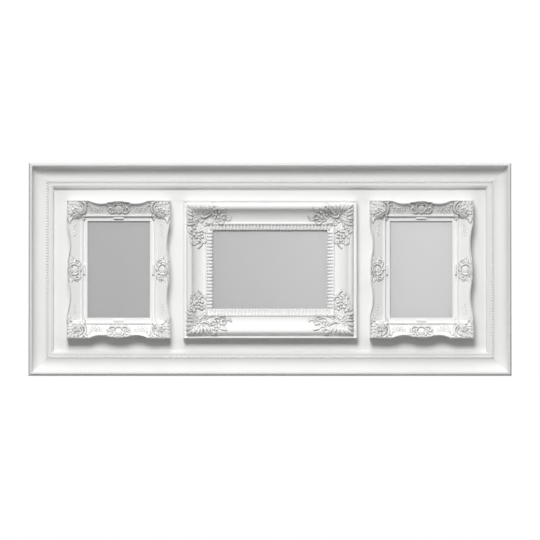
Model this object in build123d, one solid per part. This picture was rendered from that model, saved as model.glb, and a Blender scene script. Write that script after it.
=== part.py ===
from build123d import *
import os

# Wall-hung collage photo frame. Millimetres. X runs to the right and Z up as the frame hangs,
# and the front faces -Y. The origin is the middle of the plane that touches the wall.
# A height is always measured from the wall forwards, so a height h lies at y = -h.

os.makedirs("parts", exist_ok=True)

# Outer moulding: widths run from its outer edge inwards
rail_width = 36.5
side_undercut = 5.5
rope_width = 6.0
rope_crest = 38.0
cove_width = 20.5
cove_floor = 19.0
bead_width = 4.2
lip_front = 16.5
lip_reach = 7.5

# Back panel and what holds it in the moulding
panel_height = 8.0
panel_thickness = 5.0
panel_play = 0.5
window_margin = 13.0
nail_height = 10.0
nail_thickness = 0.6
nail_leg = 6.0
nail_places = (10.0, 20.0)
point_thickness = 0.6
point_width = 8.0
point_length = 16.0

# Photographs, how far the castings lap over them, and the stack behind each sight opening
small_photo = (102.0, 152.0)
small_lap = (6.0, 6.0)
large_photo = (178.0, 127.0)
large_lap = (6.0, 6.5)
photo_play = 0.5
glass_thickness = 2.0
card_thickness = 0.5
board_thickness = 3.0

# Panel left bare between the castings and beside them, and over and under the tallest one
frame_gap = 18.875
head_gap = 18.0

# Small carved castings, left and right. Heights here are over the panel's front.
side_moulding = 30.0
side_edge_height = 22.0
rim_width = 2.0
rim_height = 24.0
scoop_floor = 7.0
scoop_sag = 1.4
ridge_width = 3.4
ridge_height = 10.0
band_width = 6.0
band_height = 8.0
sight_edge_height = 7.2
wave_depth = 4.2
wave_middle_drop = 1.0

# Large casting in the middle. Heights here are over the panel's front.
centre_moulding = 42.75
lip_width = 4.0
lip_height = 18.0
hump_radius = 5.6
cove_end_height = 8.0
strip_width = 10.0
strip_height = 10.6
strip_edge_height = 9.0
fillet_width = 1.8
tooth_pitch = 4.9
tooth_gap = 2.2
tooth_depth = 2.3

# Carved ornament: how far it stands over the moulding, and its sizes
leaf_relief = 2.5
corner_width = 30.0
corner_height = 32.0
crest_width = 38.0
crest_height = 17.0
flank_width = 19.0
flank_height = 40.0
boss_radius = 6.5
boss_height = 11.5
boss_taper = 15.0
boss_facets = 6
spandrel_size = 70.0
spandrel_relief = 3.0

# Turn buttons and their screws
button_thickness = 0.8
button_width = 7.0
button_long = 14.0
button_short = 4.5
button_chamfer = 2.0
button_setback = 7.0
button_lift = 0.1
pivot_radius = 1.5
pivot_play = 0.06
pivot_depth = 6.0
shank_facets = 16
head_radius = 2.8
head_height = 1.6
head_facets = 12

# Brads that hold the castings, and the hangers
brad_section = (1.6, 1.25)
brad_depth = 9.0
hanger_drop = 33.0
ring_wire_radius = 1.2
ring_half_width = 9.2
ring_drop = 14.0
ring_axis_offset = 2.6
hanger_width = 11.0
hanger_length = 25.0
hanger_thickness = 1.0
knuckle_wall = 0.8
hanger_screw_rise = 19.0
hanger_screw_depth = 4.3

# Bends of the hanger ring from its bar round to its foot, as shares of its half width and its drop
ring_bend_shares = ((1.0, 0.0), (0.6, 1.0))

# How far a mitre is cut, as a share of the way to the middle of its frame
mitre_share = 0.9

# Outlines of the carving, as shares of the sizes above, measured inwards from each corner
corner_outline_shares = (
    (0.02, 0.04), (0.34, 0.08), (0.58, 0.02), (1.00, 0.12), (0.76, 0.36), (0.70, 0.60),
    (0.50, 0.68), (0.34, 0.80), (0.12, 1.00), (0.12, 0.62), (0.04, 0.36),
)
corner_boss_shares = (0.42, 0.42)
crest_outline_shares = (
    (0.00, 0.10), (0.20, 0.06), (0.34, 0.24), (0.50, 0.58), (0.30, 0.74), (0.14, 1.00), (0.00, 0.94),
)
spandrel_outline_shares = (
    (0.07, 0.07), (0.32, 0.07), (0.52, 0.13), (0.72, 0.08), (0.80, 0.20), (1.00, 0.36),
    (0.70, 0.42), (0.50, 0.36),
)
wave_start_shares = (0.57, 0.66)
wave_low_shares = (0.34, 0.38)
wave_crest_shares = (0.16, 0.19)

# Sizes that follow from those above
seat = panel_height + panel_thickness
stack_depth = board_thickness + card_thickness + glass_thickness
stack_front = seat + stack_depth
side_sight = tuple(side - 2 * lap for side, lap in zip(small_photo, small_lap))
side_width, side_height = (sight + 2 * side_moulding for sight in side_sight)
centre_sight = tuple(side - 2 * lap for side, lap in zip(large_photo, large_lap))
centre_width, centre_height = (sight + 2 * centre_moulding for sight in centre_sight)
frame_width = 2 * (rail_width + side_width) + centre_width + 4 * frame_gap
frame_height = 2 * (rail_width + head_gap) + max(side_height, centre_height)
side_place = (centre_width + side_width) / 2 + frame_gap
rebate_edge = rail_width - lip_reach
screw_seat = seat - button_lift - button_thickness - button_lift
carving_front = seat + rim_height + spandrel_relief


def front_plane(height):
    """The plane that a maker at the front looks on, at a height over the wall."""
    return Plane.XZ.offset(height)


def slab(outline, back, front):
    """An outline seen from the front, filled between two heights over the wall."""
    return extrude(front_plane(back) * outline, amount=front - back)


def plan(*runs):
    """The face inside a closed chain of lines and arcs."""
    return make_face(Wire([edge for run in runs for edge in run.edges()]))


def strokes(shares, width, height):
    """Corners of an outline from shares of a width and a height."""
    return [(x * width, z * height) for x, z in shares]


def shank(place):
    """The outline of a screw's shank, and of the hole that it cuts for itself."""
    return Pos(*place) * RegularPolygon(pivot_radius, shank_facets)


def mirrored(shape):
    """A shape and its three mirror images about the middle of its frame."""
    both = shape + mirror(shape, Plane.YZ)
    return both + mirror(both, Plane.XZ)


def rail(section, length, reach, front, turn):
    """A moulding run along the bottom edge, mitred at both ends and turned to its side."""
    end = length / 2
    start = Plane(origin=(-end, 0, -reach), x_dir=(0, 0, 1), z_dir=(1, 0, 0))
    run = extrude(start * section, amount=length)
    depth = mitre_share * min(reach, end)
    corners = [(-end, -reach), (end, -reach), (end - depth, depth - reach), (depth - end, depth - reach)]
    wedge = slab(make_face(Polyline(*corners, close=True)), 0, front)
    return Rot(0, turn, 0) * (run & wedge)


def four_rails(section, width, height, front):
    """The rails of a frame: bottom, left, top and right."""
    sides = ((width, height, 0), (height, width, 90), (width, height, 180), (height, width, -90))
    return [rail(section, length, across / 2, front, turn) for length, across, turn in sides]


def outer_section():
    """Rope bead, cove, small bead and sloping lip over the rebate for the panel."""
    shoulder = rope_crest - rope_width / 2
    cove_end = rope_width + cove_width
    bead_end = cove_end + bead_width
    bead_top = (cove_end + bead_width / 2, cove_floor + bead_width / 2)
    return plan(
        Line((side_undercut, 0), (0, shoulder)),
        ThreePointArc((0, shoulder), (rope_width / 2, rope_crest), (rope_width, shoulder)),
        TangentArc((cove_end, cove_floor), (rope_width, shoulder), tangent=(-1, 0)),
        ThreePointArc((cove_end, cove_floor), bead_top, (bead_end, cove_floor)),
        Polyline((bead_end, cove_floor), (rail_width, lip_front), (rail_width, seat), (rebate_edge, seat),
                 (rebate_edge, 0), (side_undercut, 0)),
    )


def corner_nails():
    """Two V-shaped nails across each mitre, pressed in flush with the back."""
    nails = []
    for place in nail_places:
        vee = Polyline((0, nail_leg), (0, 0), (nail_leg, 0))
        strip = trace(vee, nail_thickness)
        nails.append(slab(Pos(place - frame_width / 2, place - frame_height / 2) * strip, 0, nail_height))
    group = []
    for nail in nails:
        across = mirror(nail, Plane.YZ)
        group += [nail, across, mirror(nail, Plane.XY), mirror(across, Plane.XY)]
    return group


def panel_points():
    """Flat tabs driven into the rebate wall that bear on the back of the panel."""
    inner_x = frame_width / 2 - rebate_edge
    inner_z = frame_height / 2 - rebate_edge
    tall = Rectangle(point_width, point_length)
    wide = Rectangle(point_length, point_width)
    tabs = []
    for x in (-side_place, 0, side_place):
        tabs += [(Pos(x, inner_z) * tall), (Pos(x, -inner_z) * tall)]
    for z in (-frame_height / 5, frame_height / 5):
        tabs += [(Pos(inner_x, z) * wide), (Pos(-inner_x, z) * wide)]
    return [slab(tab, panel_height - point_thickness, panel_height) for tab in tabs]


def side_section():
    """Scoop, raised ridge and sight band of a small casting, without its wavy rim."""
    sight = side_moulding
    band = sight - band_width
    ridge = band - ridge_width
    low, edge = (ridge, seat + scoop_floor), (0, seat + side_edge_height)
    hollow = ((low[0] + edge[0]) / 2, (low[1] + edge[1]) / 2 - scoop_sag)
    crest, groove = (ridge + ridge_width / 2, seat + ridge_height), (band, seat + band_height)
    return plan(
        Line((0, seat), edge),
        ThreePointArc(edge, hollow, low),
        ThreePointArc(low, crest, groove),
        Polyline(groove, (sight - rim_width, seat + band_height), (sight, seat + sight_edge_height),
                 (sight, seat), (0, seat)),
    )


def wavy_edge(half, reach, start_share, low_share, crest_share):
    """Half the length and the reach of one side: straight at the corners, two sags and a bulge."""
    top = reach - wave_middle_drop
    corner, start = (half, reach), (half * start_share, reach)
    low, crest = (half * low_share, reach - wave_depth), (half * crest_share, top - wave_middle_drop)
    far_crest, far_low, far_start, far_corner = [(-x, z) for x, z in (crest, low, start, corner)]
    return [
        Line(corner, start), ThreePointArc(start, low, crest), ThreePointArc(crest, (0, top), far_crest),
        ThreePointArc(far_crest, far_low, far_start), Line(far_start, far_corner),
    ]


def wavy_outline(inset):
    """The outer contour of a small casting, seen from the front, or a line inside it."""
    width, height = side_width / 2 - inset, side_height / 2 - inset
    level_shares, upright_shares = zip(wave_start_shares, wave_low_shares, wave_crest_shares)
    level = Wire(wavy_edge(width, height, *level_shares))
    upright = Wire(wavy_edge(height, width, *upright_shares))
    return plan(level, Rot(0, 0, 90) * upright, Rot(0, 0, 180) * level, Rot(0, 0, -90) * upright)


def carve(body, outline, relief):
    """The body with its own face raised by the relief wherever the outline lies."""
    raised = Pos(0, -relief, 0) * body
    return body + (raised & slab(outline, seat, carving_front))


def boss(place):
    """A faceted cabochon with a sloping edge that rises from the scoop."""
    outline = Pos(*place) * RegularPolygon(boss_radius, boss_facets)
    return extrude(front_plane(seat + scoop_floor) * outline, amount=boss_height, taper=boss_taper)


def corner_carving():
    """Leaves that spread from a corner of a small casting along both of its rails."""
    return make_face(Polyline(*strokes(corner_outline_shares, corner_width, corner_height), close=True))


def crest_carving(width, height):
    """The leaves on both sides of a centre ornament that stands on z = 0."""
    wing = make_face(Polyline(*strokes(crest_outline_shares, width, height), close=True))
    return wing + mirror(wing, Plane.YZ)


def side_frame():
    """A small casting: scooped moulding cut to a wavy contour, carved, with rebate and sight opening."""
    reach_x, reach_z = side_width / 2, side_height / 2
    block = Part() + four_rails(side_section(), side_width, side_height, carving_front)
    contour, inside = wavy_outline(0), wavy_outline(rim_width)
    crest = Pos(0, reach_z - crest_height - wave_middle_drop) * crest_carving(crest_width, crest_height)
    flank = Rot(0, 0, -90) * crest_carving(flank_height, flank_width)
    flank = Pos(reach_x - flank_width - wave_middle_drop, 0) * flank
    ornament = mirrored(Pos(-reach_x, -reach_z) * corner_carving())
    ornament += crest + mirror(crest, Plane.XZ) + flank + mirror(flank, Plane.YZ)
    body = carve(block & slab(contour, seat, carving_front), ornament & inside, leaf_relief)
    body += slab(contour - inside, seat, seat + rim_height)
    share_x, share_z = corner_boss_shares
    corner_x, corner_z = reach_x - share_x * corner_width, reach_z - share_z * corner_height
    for sign in (1, -1):
        body += boss((0, sign * (reach_z - crest_height / 2 - wave_middle_drop)))
        body += boss((sign * (reach_x - flank_width / 2 - wave_middle_drop), 0))
        body += [boss((sign * corner_x, up * corner_z)) for up in (1, -1)]
    return finish_casting(body, (side_width, side_height), small_photo)


def centre_section():
    """Flat lip, rounded hump, deep cove and the strip that carries the teeth."""
    sight = centre_moulding
    strip = sight - strip_width
    lip, strip_front = seat + lip_height, seat + strip_height
    lean = hump_radius * 2 ** -0.5
    brow = (lip_width + hump_radius + lean, lip + lean)
    return plan(
        Polyline((0, seat), (0, lip), (lip_width, lip)),
        TangentArc((lip_width, lip), brow, tangent=(0, 1)),
        TangentArc((strip, seat + cove_end_height), brow, tangent=(-1, 0)),
        Polyline((strip, seat + cove_end_height), (strip, strip_front), (strip + fillet_width, strip_front),
                 (sight, seat + strip_edge_height), (sight, seat), (0, seat)),
    )


def tooth_gaps():
    """The notches between the teeth of the sight strip, on all four sides."""
    run = strip_width - fillet_width
    level = seat + strip_edge_height - tooth_depth
    front = seat + strip_height + tooth_depth
    gaps = []
    width, height = centre_sight
    for length, reach, turn in ((width, height, 0), (height, width, 90)):
        count = int(length / tooth_pitch)
        notch = Pos(0, (reach + run) / 2) * Rectangle(tooth_gap, run)
        for step in range(count):
            shift = (step - (count - 1) / 2) * tooth_pitch
            gap = slab(Rot(0, 0, turn) * (Pos(shift, 0) * notch), level, front)
            gaps += [gap, Rot(0, 180, 0) * gap]
    return gaps


def spandrel():
    """The carved corner of the centre casting: a fan of leaves and a vine branch along each rail."""
    half = strokes(spandrel_outline_shares, spandrel_size, spandrel_size)
    other = [(z, x) for x, z in reversed(half)]
    return make_face(Polyline(*half, *other[:-1], close=True))


def centre_frame():
    """The large casting: hump and cove moulding, carved corners and toothed sight strip."""
    body = Part() + four_rails(centre_section(), centre_width, centre_height, carving_front)
    corners = mirrored(Pos(-centre_width / 2, -centre_height / 2) * spandrel())
    body = carve(body, corners, spandrel_relief)
    body -= tooth_gaps()
    return finish_casting(body, (centre_width, centre_height), large_photo)


def button_places(photo):
    """Where the two turn buttons of a casting pivot, and how far each is turned."""
    z = photo[1] / 2 + photo_play + button_setback
    return (((0, z), 180), ((0, -z), 0))


def window_size(photo):
    """The window in the panel behind a casting."""
    return tuple(side + 2 * photo_play + 2 * window_margin for side in photo)


def brad_places(size, photo):
    """Four brads, in the middle of the casting's seat at its corners."""
    x, z = ((outer + inner) / 4 for outer, inner in zip(size, window_size(photo)))
    return ((x, z), (-x, z), (x, -z), (-x, -z))


def brads(size, photo):
    """Flat-wire brads driven through the panel into a casting, flush with the panel's back."""
    wire = Rectangle(*brad_section)
    return [slab(Pos(*place) * wire, panel_height, seat + brad_depth) for place in brad_places(size, photo)]


def finish_casting(body, size, photo):
    """Cuts the rebate for the stack, the pivot holes and the places of the brads."""
    body -= slab(Rectangle(photo[0] + 2 * photo_play, photo[1] + 2 * photo_play), seat, stack_front)
    body -= [slab(shank(place), seat, seat + pivot_depth) for place, turn in button_places(photo)]
    return body - brads(size, photo)


def panel():
    """Backing panel with a window behind each casting, and holes for brads and hanger screws."""
    width = frame_width - 2 * (rebate_edge + panel_play)
    height = frame_height - 2 * (rebate_edge + panel_play)
    sheet = Rectangle(width, height)
    for x, size, photo in castings:
        sheet -= Pos(x, 0) * Rectangle(*window_size(photo))
    board = slab(sheet, panel_height, seat)
    for x, size, photo in castings:
        board -= [Pos(x, 0, 0) * brad for brad in brads(size, photo)]
    for place in hanger_screw_places:
        board -= slab(shank(place), panel_height, panel_height + hanger_screw_depth)
    return board


def pan_screw(place, base, depth):
    """A screw: its faceted head lies behind the base height and its shank runs forward."""
    head = slab(Pos(*place) * RegularPolygon(head_radius, head_facets), base - head_height, base)
    return head + slab(shank(place), base, base + depth)


def turn_button(place, turn):
    """A pressed plate with cut corners that pivots beside the rebate and reaches over the board."""
    plate = Pos(0, (button_long - button_short) / 2) * Rectangle(button_width, button_long + button_short)
    blank = chamfer(plate.vertices(), button_chamfer) - Circle(pivot_radius + pivot_play)
    return slab(Pos(*place) * (Rot(0, 0, turn) * blank), screw_seat + button_lift, seat - button_lift)


def hanger_plate(x):
    """A screwed plate rolled into a knuckle at its lower end."""
    knuckle_radius = ring_wire_radius + pivot_play + knuckle_wall
    axis_height = panel_height - ring_axis_offset
    strap = Pos(x, hanger_z + hanger_length / 2) * Rectangle(hanger_width, hanger_length)
    plate = slab(strap, panel_height - hanger_thickness, panel_height)
    bar = Plane(origin=(x - hanger_width / 2, -axis_height, hanger_z), z_dir=(1, 0, 0))
    plate += extrude(bar * Circle(knuckle_radius), amount=hanger_width)
    plate -= extrude(bar * Circle(ring_wire_radius + pivot_play), amount=hanger_width)
    return plate - [slab(shank(place), 0, panel_height) for place in hanger_screw_places]


def hanger_ring(x):
    """A wire ring with a straight bar that turns in the knuckle, hanging down."""
    half = [(side * ring_half_width, -drop * ring_drop) for side, drop in ring_bend_shares]
    corners = half + [(-side, drop) for side, drop in reversed(half)]
    level = Plane(origin=(x, ring_axis_offset - panel_height, hanger_z), x_dir=(1, 0, 0), z_dir=(0, -1, 0))
    path = level * Polyline(*corners, close=True)
    start = Plane(origin=path.edges()[-1] @ (1 / 2), z_dir=path.edges()[-1] % 0)
    return sweep(start * Circle(ring_wire_radius), path=path, transition=Transition.RIGHT)


def save(shape, node):
    """Writes one sub-part, a group as a compound of separate solids."""
    if isinstance(shape, list):
        shape = Compound(children=[solid for piece in shape for solid in piece.solids()])
    export_step(shape, f"parts/{node}.step")
    print(node, len(shape.solids()), round(shape.volume))


castings = (
    (-side_place, (side_width, side_height), small_photo),
    (0, (centre_width, centre_height), large_photo),
    (side_place, (side_width, side_height), small_photo),
)
names = ("left", "centre", "right")
hanger_x = (window_size(large_photo)[0] - window_size(small_photo)[0] + 2 * side_place) / 4
hanger_z = frame_height / 2 - rebate_edge - panel_play - hanger_drop
hanger_screw_places = ((-hanger_x, hanger_z + hanger_screw_rise), (hanger_x, hanger_z + hanger_screw_rise))

# Outer frame, its nails and the tabs behind the panel
nails = corner_nails()
points = panel_points()
outer_rails = four_rails(outer_section(), frame_width, frame_height, rope_crest)
for outer_rail, name in zip(outer_rails, ("bottom", "left", "top", "right")):
    save(outer_rail - nails - points, f"rail_{name}")
save(nails, "corner_v_nails")
save(points, "panel_points")
save(panel(), "mount_panel")

# The three castings with glass, card and board, and their turn buttons
carved = {"side": side_frame(), "centre": centre_frame()}
button_screws, casting_brads = [], []
for (x, size, photo), name in zip(castings, names):
    casting = carved["centre" if name == "centre" else "side"]
    save(Pos(x, 0, 0) * casting, f"{name}_frame")
    sheet = Pos(x, 0) * Rectangle(*photo)
    card_back = seat + board_thickness
    save(slab(sheet, seat, card_back), f"{name}_back_board")
    save(slab(sheet, card_back, card_back + card_thickness), f"{name}_photo_card")
    save(slab(sheet, card_back + card_thickness, stack_front), f"{name}_glass")
    for (place, turn), edge in zip(button_places(photo), ("top", "bottom")):
        middle = (x + place[0], place[1])
        save(turn_button(middle, turn), f"{name}_button_{edge}")
        button_screws.append(pan_screw(middle, screw_seat, seat + pivot_depth - screw_seat))
    casting_brads += [Pos(x, 0, 0) * brad for brad in brads(size, photo)]
save(button_screws, "turn_button_screws")
save(casting_brads, "casting_brads")

# Hangers
plate_back = panel_height - hanger_thickness
screw_depth = hanger_thickness + hanger_screw_depth
for sign, name in ((-1, "left"), (1, "right")):
    save(hanger_plate(sign * hanger_x), f"hanger_plate_{name}")
    save(hanger_ring(sign * hanger_x), f"hanger_ring_{name}")
hanger_screws = [pan_screw(place, plate_back, screw_depth) for place in hanger_screw_places]
save(hanger_screws, "hanger_screws")
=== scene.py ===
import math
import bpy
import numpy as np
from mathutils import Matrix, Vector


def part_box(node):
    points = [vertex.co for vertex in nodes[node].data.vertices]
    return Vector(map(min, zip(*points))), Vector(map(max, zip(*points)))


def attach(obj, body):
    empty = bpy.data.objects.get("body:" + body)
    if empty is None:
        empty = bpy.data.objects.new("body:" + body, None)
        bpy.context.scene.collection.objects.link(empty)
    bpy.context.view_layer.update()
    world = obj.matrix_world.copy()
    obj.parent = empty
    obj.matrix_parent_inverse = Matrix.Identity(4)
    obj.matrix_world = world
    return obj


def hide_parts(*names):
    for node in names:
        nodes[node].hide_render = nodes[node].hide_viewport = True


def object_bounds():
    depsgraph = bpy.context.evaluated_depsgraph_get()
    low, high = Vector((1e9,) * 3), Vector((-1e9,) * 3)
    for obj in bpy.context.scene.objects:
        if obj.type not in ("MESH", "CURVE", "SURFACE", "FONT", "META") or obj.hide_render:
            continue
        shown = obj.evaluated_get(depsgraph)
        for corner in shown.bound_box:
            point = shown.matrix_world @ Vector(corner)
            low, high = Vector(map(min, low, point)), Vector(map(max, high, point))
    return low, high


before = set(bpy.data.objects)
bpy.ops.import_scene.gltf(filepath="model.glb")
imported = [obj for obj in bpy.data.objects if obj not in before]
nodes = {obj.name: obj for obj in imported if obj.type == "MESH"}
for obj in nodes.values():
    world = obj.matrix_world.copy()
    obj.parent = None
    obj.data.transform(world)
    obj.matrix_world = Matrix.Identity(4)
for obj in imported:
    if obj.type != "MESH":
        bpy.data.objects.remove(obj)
cad_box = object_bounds()

# %% [markdown]
# A white collage frame hangs on a wall: a wide moulding with a rope edge, a flat panel, and three
# carved frames on the panel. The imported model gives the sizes, and its panel, boards, glass and
# hardware stay. The carving is too fine for solids, so the moulding and the carved frames are made
# here as dense skins of points over the same sizes.

MM = 0.001
print("nodes", len(nodes), "box", [round(v, 4) for corner in cad_box for v in corner])

# %% [markdown]
# Colours are written as the hex values that a screen shows. The renderer works in linear light, where
# the same numbers would look washed out, so one function turns every colour.

# %% Colours
def linear(code):
    """A hex colour as linear red, green, blue and alpha."""
    shown = [int(code[i:i + 2], 16) / 255 for i in (1, 3, 5)]
    return [c / 12.92 if c <= 0.04045 else ((c + 0.055) / 1.055) ** 2.4 for c in shown] + [1.0]


print("mid grey in linear light", round(linear("#808080")[0], 3))

# %% [markdown]
# A material is a tree of nodes. One helper adds a node with all that it needs: a value given for a
# socket is set there, and another node's output is linked to it. Paint, paper and board end in the same
# shader with a fine bump, so a second helper makes that end.

# %% Nodes
def add(material, kind, inputs=None, **settings):
    """Adds a node, sets its properties, and fills its sockets with values or with other outputs."""
    node = material.node_tree.nodes.new(kind)
    for key, value in settings.items():
        setattr(node, key, value)
    for key, value in (inputs or {}).items():
        if isinstance(value, bpy.types.NodeSocket):
            material.node_tree.links.new(value, node.inputs[key])
        else:
            node.inputs[key].default_value = value
    return node


def new_material(name):
    """An empty material."""
    material = bpy.data.materials.new(name)
    material.use_nodes = True
    material.node_tree.nodes.clear()
    return material


def coat(material, colour, relief, relief_mm, roughness):
    """Ends a material with a surface of a colour, a roughness and a fine relief."""
    bump = add(material, "ShaderNodeBump", {
        "Height": relief.outputs["Fac"], "Strength": 1.0, "Distance": relief_mm * MM})
    shader = add(material, "ShaderNodeBsdfPrincipled", {
        "Base Color": colour.outputs["Result"], "Roughness": roughness, "IOR": 1.5,
        "Normal": bump.outputs["Normal"]})
    add(material, "ShaderNodeOutputMaterial", {"Surface": shader.outputs[0]})


print("node helpers", add.__name__, new_material.__name__, coat.__name__)

# %% [markdown]
# The moulding is wood, the panel fibreboard and the carved frames cast resin, all sprayed with satin
# white lacquer. Sprayed lacquer dries with a fine orange peel, which the eye only sees as a softened
# highlight, and its white drifts a little from place to place. A slow noise between two near whites
# gives the drift, a fine bump the peel, and a middle roughness the satin. The casts are drawn a shade
# whiter than the moulding. The peel is drawn a little coarser than the real one, so that it still shows
# from a step away.

# %% Sprayed white lacquer
WHITE, WHITE_DEEP = "#F1F1F0", "#ECECEB"
CAST_WHITE, CAST_DEEP = "#FAFAF9", "#F5F5F4"
DRIFT_MM = 80


def sprayed_lacquer(name, light, deep, roughness, peel_mm, peel_height_mm):
    """Satin lacquer: colour drift over a hand's width, and orange peel as a fine bump."""
    material = new_material(name)
    place = add(material, "ShaderNodeTexCoord").outputs["Object"]
    drift = add(material, "ShaderNodeTexNoise", {
        "Vector": place, "Scale": 1 / (DRIFT_MM * MM), "Detail": 2.0})
    colour = add(material, "ShaderNodeMix", {
        "Factor": drift.outputs["Fac"], "A": linear(deep), "B": linear(light)}, data_type="RGBA")
    peel = add(material, "ShaderNodeTexNoise", {"Vector": place, "Scale": 1 / (peel_mm * MM), "Detail": 1.0})
    coat(material, colour, peel, peel_height_mm, roughness)
    return material


rail_lacquer = sprayed_lacquer("sprayed white lacquer on wood", WHITE, WHITE_DEEP,
                               roughness=0.45, peel_mm=2.5, peel_height_mm=0.004)
panel_lacquer = sprayed_lacquer("sprayed white lacquer on fibreboard", WHITE, WHITE_DEEP,
                                roughness=0.5, peel_mm=1.8, peel_height_mm=0.003)
cast_lacquer = sprayed_lacquer("sprayed white lacquer on cast resin", CAST_WHITE, CAST_DEEP,
                               roughness=0.42, peel_mm=3.0, peel_height_mm=0.004)
print("materials", [m.name for m in (rail_lacquer, panel_lacquer, cast_lacquer)])

# %% [markdown]
# Every piece made here belongs to the one body that hangs on the wall. A helper gives a mesh its
# finish, fixes it to that body and hides the imported nodes it stands for. Shading is smooth, with
# edges kept sharp past an angle, so that flats stay flat and coves stay round.

# %% Placing a piece
def placed(name, mesh, material, slot, replaced=()):
    """Puts a mesh in the scene as a piece of the frame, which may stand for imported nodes."""
    mesh.materials.append(material)
    piece = bpy.data.objects.new(name, mesh)
    bpy.context.scene.collection.objects.link(piece)
    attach(piece, "frame_body")
    if replaced:
        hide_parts(*replaced)
    print(name, "faces", len(mesh.polygons))


def softened(mesh, crease):
    """Smooth shading, with edges kept sharp past a crease angle in degrees."""
    mesh.polygons.foreach_set("use_smooth", [True] * len(mesh.polygons))
    mesh.set_sharp_from_angle(angle=math.radians(crease))


print("piece helpers", placed.__name__, softened.__name__)

# %% [markdown]
# Most pieces are skins: a grid of points that run along the moulding one way and round its section the
# other. A modifier could sweep a section along a curve as well, but a grid lets every point have its
# own height, which carving needs.

# %% Grid skins
def skin(name, grid, material, slot, replaced=(), endless=False, crease=38):
    """A mesh over a grid of points in millimetres, closed round its section, with ends unless endless."""
    index = np.arange(grid.shape[0] * grid.shape[1]).reshape(grid.shape[:2])
    if endless:
        index = np.vstack([index, index[:1]])
    index = np.hstack([index, index[:, :1]])
    corners = (index[:-1, :-1], index[1:, :-1], index[1:, 1:], index[:-1, 1:])
    faces = np.stack(corners, axis=-1).reshape(-1, 4).tolist()
    if not endless:
        faces += [index[0, :-1].tolist(), index[-1, :-1][::-1].tolist()]
    mesh = bpy.data.meshes.new(name)
    mesh.from_pydata((grid.reshape(-1, 3) * MM).tolist(), [], faces)
    softened(mesh, crease)
    placed(name, mesh, material, slot, replaced)


def turned(x, y, z, turn):
    """Points turned in the plane of the frame, by degrees."""
    angle = math.radians(turn)
    return np.stack([x * math.cos(angle) - z * math.sin(angle), y,
                     x * math.sin(angle) + z * math.cos(angle)], axis=-1)


print("a quarter turn takes the right side to", turned(1, 0, 0, 90).round(3))

# %% [markdown]
# The outer moulding is one section, mitred at four corners. From the outer edge inwards it has a narrow
# chamfer, a rope, a deep cove, a small rope bead and a sloping lip, with the rebate behind. Its outer
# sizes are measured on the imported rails, so that the dressed frame cannot drift from the solid one.

# %% Sizes of the outer moulding
rail_low, rail_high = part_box("rail_bottom")
frame_width = (rail_high[0] - rail_low[0]) / MM
rail_width = (rail_high[2] - rail_low[2]) / MM
frame_height = 2 * -rail_low[2] / MM
rope_crest = -rail_low[1] / MM
seat = -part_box("mount_panel")[0][1] / MM
print("moulding", round(frame_width, 2), round(frame_height, 2), round(rail_width, 2))
print("rope crest", round(rope_crest, 2), "panel front", round(seat, 2))

# %% [markdown]
# A planed moulding keeps one section over its whole length, so a row of places describes it, with part
# of a circle for the cove. The rope and the bead are not in it, because they are twisted rods that lie
# on it. Widths run inwards from the outer edge and heights forwards from the wall.

# %% Section of the outer moulding
UNDERCUT, REBATE_EDGE = 5.5, 29.0
CHAMFER_LOW, CHAMFER_HIGH, CHAMFER_WIDTH = 28.5, 34.6, 1.8
ROPE_PLACE, ROPE_RADIUS, ROPE_BED = 3.5, 2.2, 0.6
COVE_INSET, COVE_DROP = 0.3, 0.8
COVE_LOW, COVE_LOW_FRONT, COVE_TURN, COVE_POINTS = 18.7, 18.9, 24.9, 30
BEAD_RADIUS, BEAD_SEAT, BEAD_FRONT = 2.2, 0.5, 20.1
LIP_PLACE, LIP_START, LIP_EDGE, LIP_EDGE_FRONT = 32.4, 21.1, 34.9, 19.5


def cove(start, low, end, count):
    """A hollow that falls from its start to its lowest point and rises a little to its end."""
    run, fall = low[0] - start[0], start[1] - low[1]
    radius = (run * run + fall * fall) / (2 * fall)
    angles = np.linspace(math.asin(min(run / radius, 1)), -math.asin((end - low[0]) / radius), count)
    return [(low[0] - radius * math.sin(a), low[1] + radius * (1 - math.cos(a))) for a in angles]


shoulder = rope_crest - ROPE_RADIUS
cove_start = (ROPE_PLACE + ROPE_RADIUS - COVE_INSET, shoulder - COVE_DROP)
core_section = (
    [(UNDERCUT, 0), (0, CHAMFER_LOW), (CHAMFER_WIDTH, CHAMFER_HIGH), (ROPE_PLACE, shoulder + ROPE_BED)]
    + cove(cove_start, (COVE_LOW, COVE_LOW_FRONT), COVE_TURN, COVE_POINTS)
    + [(COVE_TURN + BEAD_SEAT, BEAD_FRONT), (LIP_PLACE, LIP_START), (LIP_EDGE, LIP_EDGE_FRONT)]
    + [(rail_width, seat), (REBATE_EDGE, seat), (REBATE_EDGE, 0)]
)
print("section points", len(core_section))

# %% [markdown]
# A rail is that section run along one side. Each end is cut at 45 degrees, so a point further in has
# a shorter run. The four rails are the same sweep turned by quarter turns, as a maker cuts four
# lengths from one stick.

# %% Rails
sides = (("bottom", frame_width, frame_height, 180), ("left", frame_height, frame_width, 90),
         ("top", frame_width, frame_height, 0), ("right", frame_height, frame_width, 270))
section_u, section_front = np.array(core_section).T
ends = np.array([[-1], [1]])
for side, length, reach, turn in sides:
    x = ends * (length / 2 - section_u)
    y = np.broadcast_to(-section_front, x.shape)
    z = np.broadcast_to(reach / 2 - section_u, x.shape)
    moulding = turned(x, y, z, turn)
    skin(f"rail_{side}_moulding", moulding, rail_lacquer, "white_wood", [f"rail_{side}"])

# %% [markdown]
# The edge and the inner bead are cut as rope: strands that wind round a rod. Where a point lies in its
# strand depends on the place along the rod plus the angle round it. Between two strands the rod is cut
# in by a groove. Rods are closed tubes that sink into the core, so their hidden side needs no care.

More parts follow.
